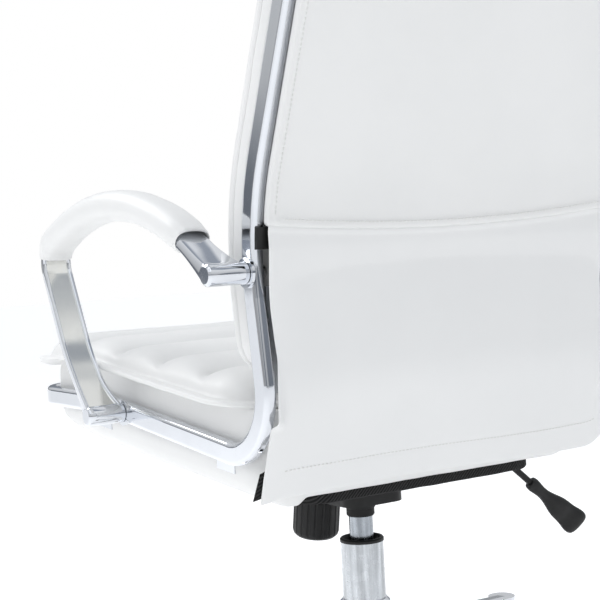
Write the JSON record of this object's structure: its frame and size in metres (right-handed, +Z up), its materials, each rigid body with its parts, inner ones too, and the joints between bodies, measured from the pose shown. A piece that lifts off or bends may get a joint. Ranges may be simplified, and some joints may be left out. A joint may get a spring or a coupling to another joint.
{
  "type": "swivel office chair",
  "caption": "High-back swivel office chair: quilted leather-look seat and back on a chromed tube frame, padded loop arms, tilt mechanism, gas lift and five-star caster base.",
  "frame": {"origin": "on the floor, on the axis of the gas lift", "axes": "+Z up, the sitter faces -Y, the sitter's left is +X"},
  "size_m": [0.6162, 0.7404, 1.07],
  "materials": {
    "chrome": "polished chrome plate",
    "leather_white": "white leather-look upholstery, fine grain, semi-matt",
    "plastic_black": "black moulded plastic, semi-gloss",
    "steel_black": "black powder coat",
    "steel_zinc": "zinc-plated or ground steel",
    "rubber_black": "black rubber",
    "dust_cloth": "black ribbed non-woven dust cover",
    "plywood": "bare plywood"
  },
  "bodies": {
    "base": {"star_base": "chrome", "base_column": "chrome", "column_ring": "plastic_black", "guide_bushing": "plastic_black", "thrust_bearing": "steel_zinc"},
    "lift_rod": {"piston_rod": "steel_zinc", "rod_clip": "steel_zinc"},
    "mechanism": {"gas_cylinder": "chrome", "tilt_housing": "steel_black", "socket_collar": "rubber_black", "pivot_shaft": "steel_zinc", "pivot_clips": "steel_zinc", "tilt_spring": "steel_zinc"},
    "valve": {"valve_button": "steel_zinc"},
    "chair": {"seat_plate": "steel_black", "seat_bolts": "steel_zinc", "tension_stud": "steel_zinc", "seat_board": "plywood", "dust_cover": "dust_cloth", "seat_base": "leather_white", "seat_pad": "leather_white", "frame_loop": "chrome", "frame_tabs": "chrome", "arm_left": "chrome", "arm_right": "chrome", "arm_sleeve_left": "leather_white", "arm_sleeve_right": "leather_white", "arm_washers": "chrome", "arm_bolts": "steel_zinc", "back_board": "leather_white", "back_crossbar": "steel_black", "back_screws": "steel_zinc", "back_pad": "leather_white", "back_cover": "leather_white", "back_apron": "leather_white"},
    "spring_seat": {"spring_seat": "steel_zinc"},
    "knob": {"tension_knob": "plastic_black"},
    "lever_bush": {"lever_bush": "plastic_black"},
    "lever": {"lever_rod": "steel_black", "lever_handle": "plastic_black"},
    "caster_0": {"caster_0_stem": "steel_zinc", "caster_0_hood": "plastic_black", "caster_0_axle": "steel_zinc"},
    "wheels_0": {"caster_0_wheels": "plastic_black"},
    "caster_1": {"caster_1_stem": "steel_zinc", "caster_1_hood": "plastic_black", "caster_1_axle": "steel_zinc"},
    "wheels_1": {"caster_1_wheels": "plastic_black"},
    "caster_2": {"caster_2_stem": "steel_zinc", "caster_2_hood": "plastic_black", "caster_2_axle": "steel_zinc"},
    "wheels_2": {"caster_2_wheels": "plastic_black"},
    "caster_3": {"caster_3_stem": "steel_zinc", "caster_3_hood": "plastic_black", "caster_3_axle": "steel_zinc"},
    "wheels_3": {"caster_3_wheels": "plastic_black"},
    "caster_4": {"caster_4_stem": "steel_zinc", "caster_4_hood": "plastic_black", "caster_4_axle": "steel_zinc"},
    "wheels_4": {"caster_4_wheels": "plastic_black"}
  },
  "joints": [
    {"name": "swivel", "type": "hinge", "parent": "base", "child": "lift_rod", "pos_m": [0, 0, 0.1], "axis": [0, 0, 1], "continuous": true},
    {"name": "gas_lift", "type": "slide", "parent": "lift_rod", "child": "mechanism", "axis": [0, 0, 1], "range_m": [0, 0.1]},
    {"name": "tilt", "type": "hinge", "parent": "mechanism", "child": "chair", "pos_m": [0, -0.03, 0.28], "axis": [-1, 0, 0], "range_deg": [0, 8], "stiffness_Nm_per_rad": 300, "springref_deg": -11.46, "deforming": ["tilt_spring"]},
    {"name": "knob_turn", "type": "hinge", "parent": "spring_seat", "child": "knob", "pos_m": [0, -0.09, 0.26], "axis": [0, 0.1736, 0.9848], "range_deg": [0, 720]},
    {"name": "knob_advance", "type": "slide", "parent": "chair", "child": "spring_seat", "axis": [0, 0.1736, 0.9848], "range_m": [0, 0.0041]},
    {"name": "lever_pull", "type": "slide", "parent": "mechanism", "child": "lever_bush", "axis": [-1, 0, 0], "range_m": [0, 0.012]},
    {"name": "lever_lift", "type": "hinge", "parent": "lever_bush", "child": "lever", "pos_m": [-0.045, 0, 0.288], "axis": [0, 1, 0], "range_deg": [0, 3.5], "stiffness_Nm_per_rad": 8, "springref_deg": -4.58},
    {"name": "valve_press", "type": "slide", "parent": "mechanism", "child": "valve", "axis": [0, 0, -1], "range_m": [0, 0.003]},
    {"name": "caster_0_swivel", "type": "hinge", "parent": "base", "child": "caster_0", "pos_m": [0, -0.305, 0.06], "axis": [0, 0, 1], "continuous": true},
    {"name": "caster_0_roll", "type": "hinge", "parent": "caster_0", "child": "wheels_0", "pos_m": [-0.00877, -0.28702, 0.025], "axis": [0.8988, 0.4384, 0], "continuous": true},
    {"name": "caster_1_swivel", "type": "hinge", "parent": "base", "child": "caster_1", "pos_m": [0.29007, -0.09425, 0.06], "axis": [0, 0, 1], "continuous": true},
    {"name": "caster_1_roll", "type": "hinge", "parent": "caster_1", "child": "wheels_1", "pos_m": [0.27293, -0.10455, 0.025], "axis": [-0.515, 0.8572, 0], "continuous": true},
    {"name": "caster_2_swivel", "type": "hinge", "parent": "base", "child": "caster_2", "pos_m": [0.17927, 0.24675, 0.06], "axis": [0, 0, 1], "continuous": true},
    {"name": "caster_2_roll", "type": "hinge", "parent": "caster_2", "child": "wheels_2", "pos_m": [0.18677, 0.22821, 0.025], "axis": [-0.9272, -0.3746, 0], "continuous": true},
    {"name": "caster_3_swivel", "type": "hinge", "parent": "base", "child": "caster_3", "pos_m": [-0.17927, 0.24675, 0.06], "axis": [0, 0, 1], "continuous": true},
    {"name": "caster_3_roll", "type": "hinge", "parent": "caster_3", "child": "wheels_3", "pos_m": [-0.16048, 0.23991, 0.025], "axis": [-0.342, -0.9397, 0], "continuous": true},
    {"name": "caster_4_swivel", "type": "hinge", "parent": "base", "child": "caster_4", "pos_m": [-0.29007, -0.09425, 0.06], "axis": [0, 0, 1], "continuous": true},
    {"name": "caster_4_roll", "type": "hinge", "parent": "caster_4", "child": "wheels_4", "pos_m": [-0.27475, -0.08139, 0.025], "axis": [0.6428, -0.766, 0], "continuous": true}
  ],
  "couplings": [
    {"joint": "knob_advance", "follows": "knob_turn", "m_per_rad": 0.00031831},
    {"joint": "valve_press", "follows": "lever_lift", "m_per_rad": 0.045}
  ]
}
